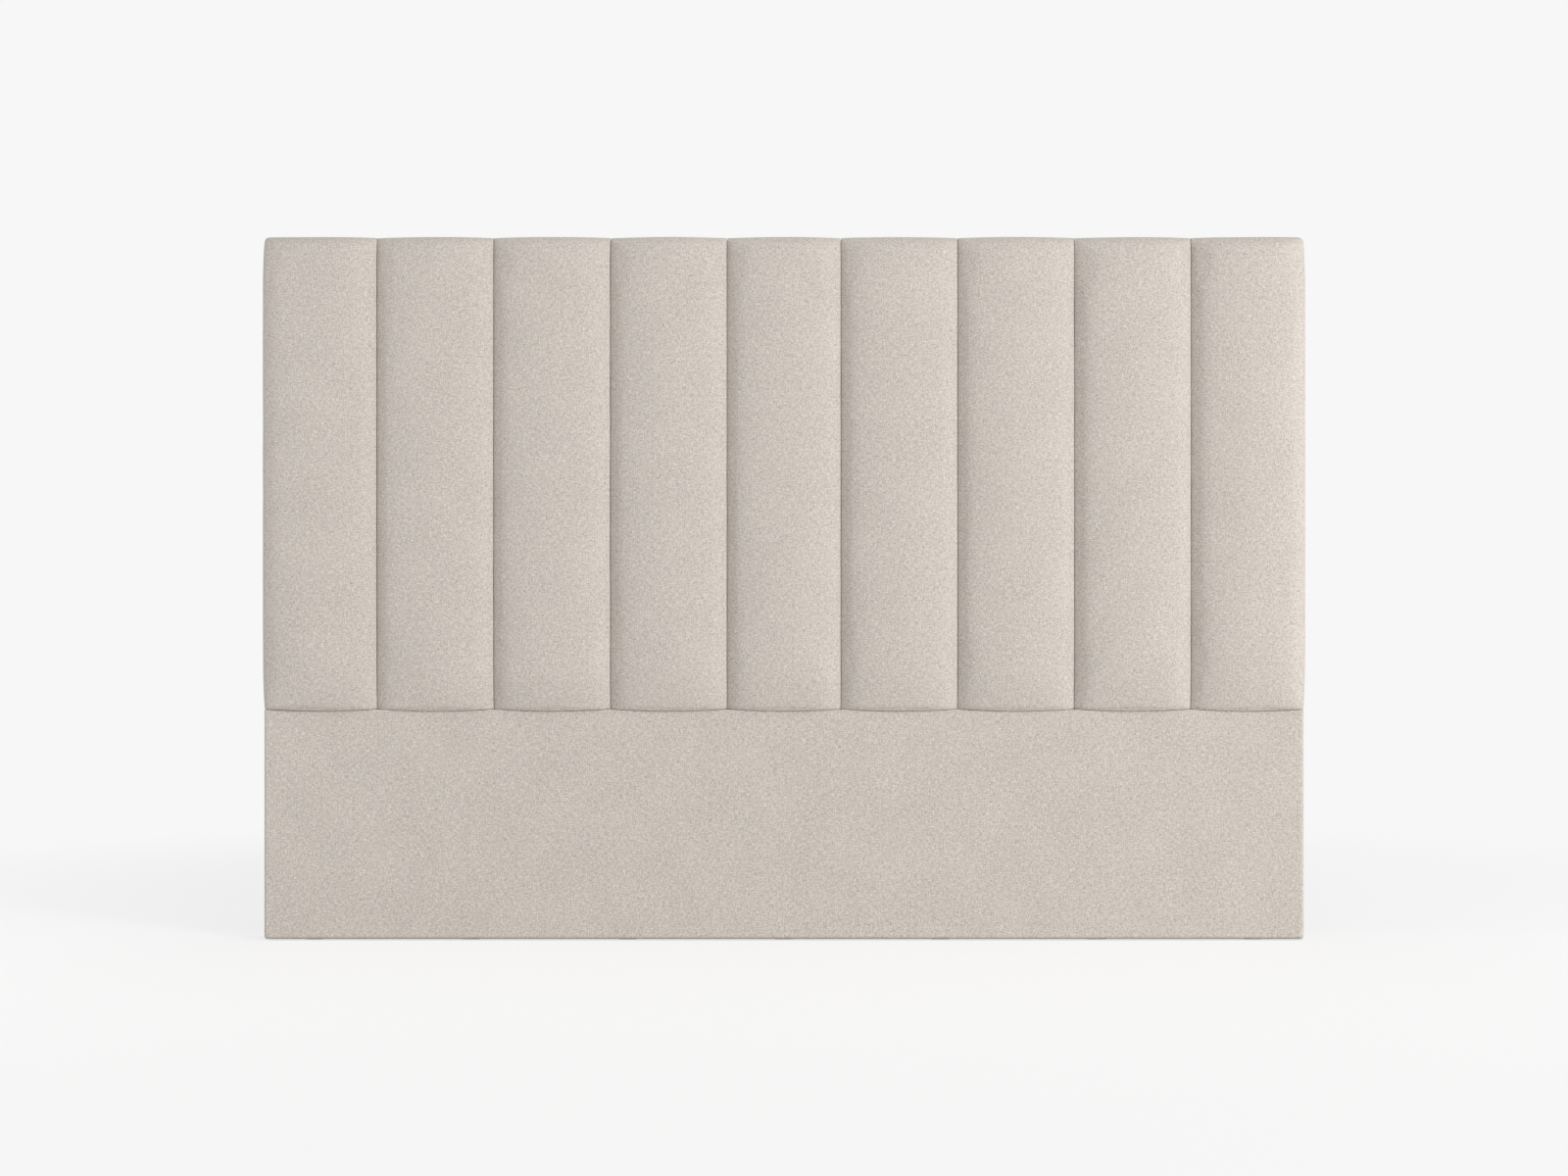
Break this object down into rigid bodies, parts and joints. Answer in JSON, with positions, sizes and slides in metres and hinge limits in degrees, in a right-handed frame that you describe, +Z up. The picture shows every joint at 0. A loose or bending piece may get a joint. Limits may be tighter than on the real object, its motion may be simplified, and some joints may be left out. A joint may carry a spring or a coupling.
{
  "type": "headboard",
  "caption": "Upholstered bed headboard: soft upright channels above a plain padded skirt, on a timber frame with threaded inserts for bed brackets.",
  "frame": {"origin": "middle of the footprint, on the floor", "axes": "+X along the headboard's width, -Y out of the padded front, +Z up"},
  "size_m": [1.7974, 0.0976, 1.2108],
  "materials": {
    "timber": "planed softwood",
    "board": "plywood and hardboard",
    "foam": "upholstery foam",
    "cover_fabric": "woven beige upholstery cloth",
    "dust_cloth": "black spun-bonded cloth",
    "steel": "zinc plated",
    "felt": "pressed felt"
  },
  "bodies": {
    "root": {"left_stile": "timber", "right_stile": "timber", "bottom_rail": "timber", "middle_rail": "timber", "top_rail": "timber", "centre_stile": "timber", "left_bracket_post": "timber", "right_bracket_post": "timber", "corner_blocks": "timber", "front_board": "board", "skirt_foam": "foam", "panel_cover": "cover_fabric", "pad_1_board": "board", "pad_1_foam": "foam", "pad_1_cover": "cover_fabric", "pad_2_board": "board", "pad_2_foam": "foam", "pad_2_cover": "cover_fabric", "pad_3_board": "board", "pad_3_foam": "foam", "pad_3_cover": "cover_fabric", "pad_4_board": "board", "pad_4_foam": "foam", "pad_4_cover": "cover_fabric", "pad_5_board": "board", "pad_5_foam": "foam", "pad_5_cover": "cover_fabric", "pad_6_board": "board", "pad_6_foam": "foam", "pad_6_cover": "cover_fabric", "pad_7_board": "board", "pad_7_foam": "foam", "pad_7_cover": "cover_fabric", "pad_8_board": "board", "pad_8_foam": "foam", "pad_8_cover": "cover_fabric", "pad_9_board": "board", "pad_9_foam": "foam", "pad_9_cover": "cover_fabric", "pad_screws": "steel", "threaded_inserts": "steel", "dust_cover": "dust_cloth", "felt_strips": "felt"}
  },
  "joints": []
}
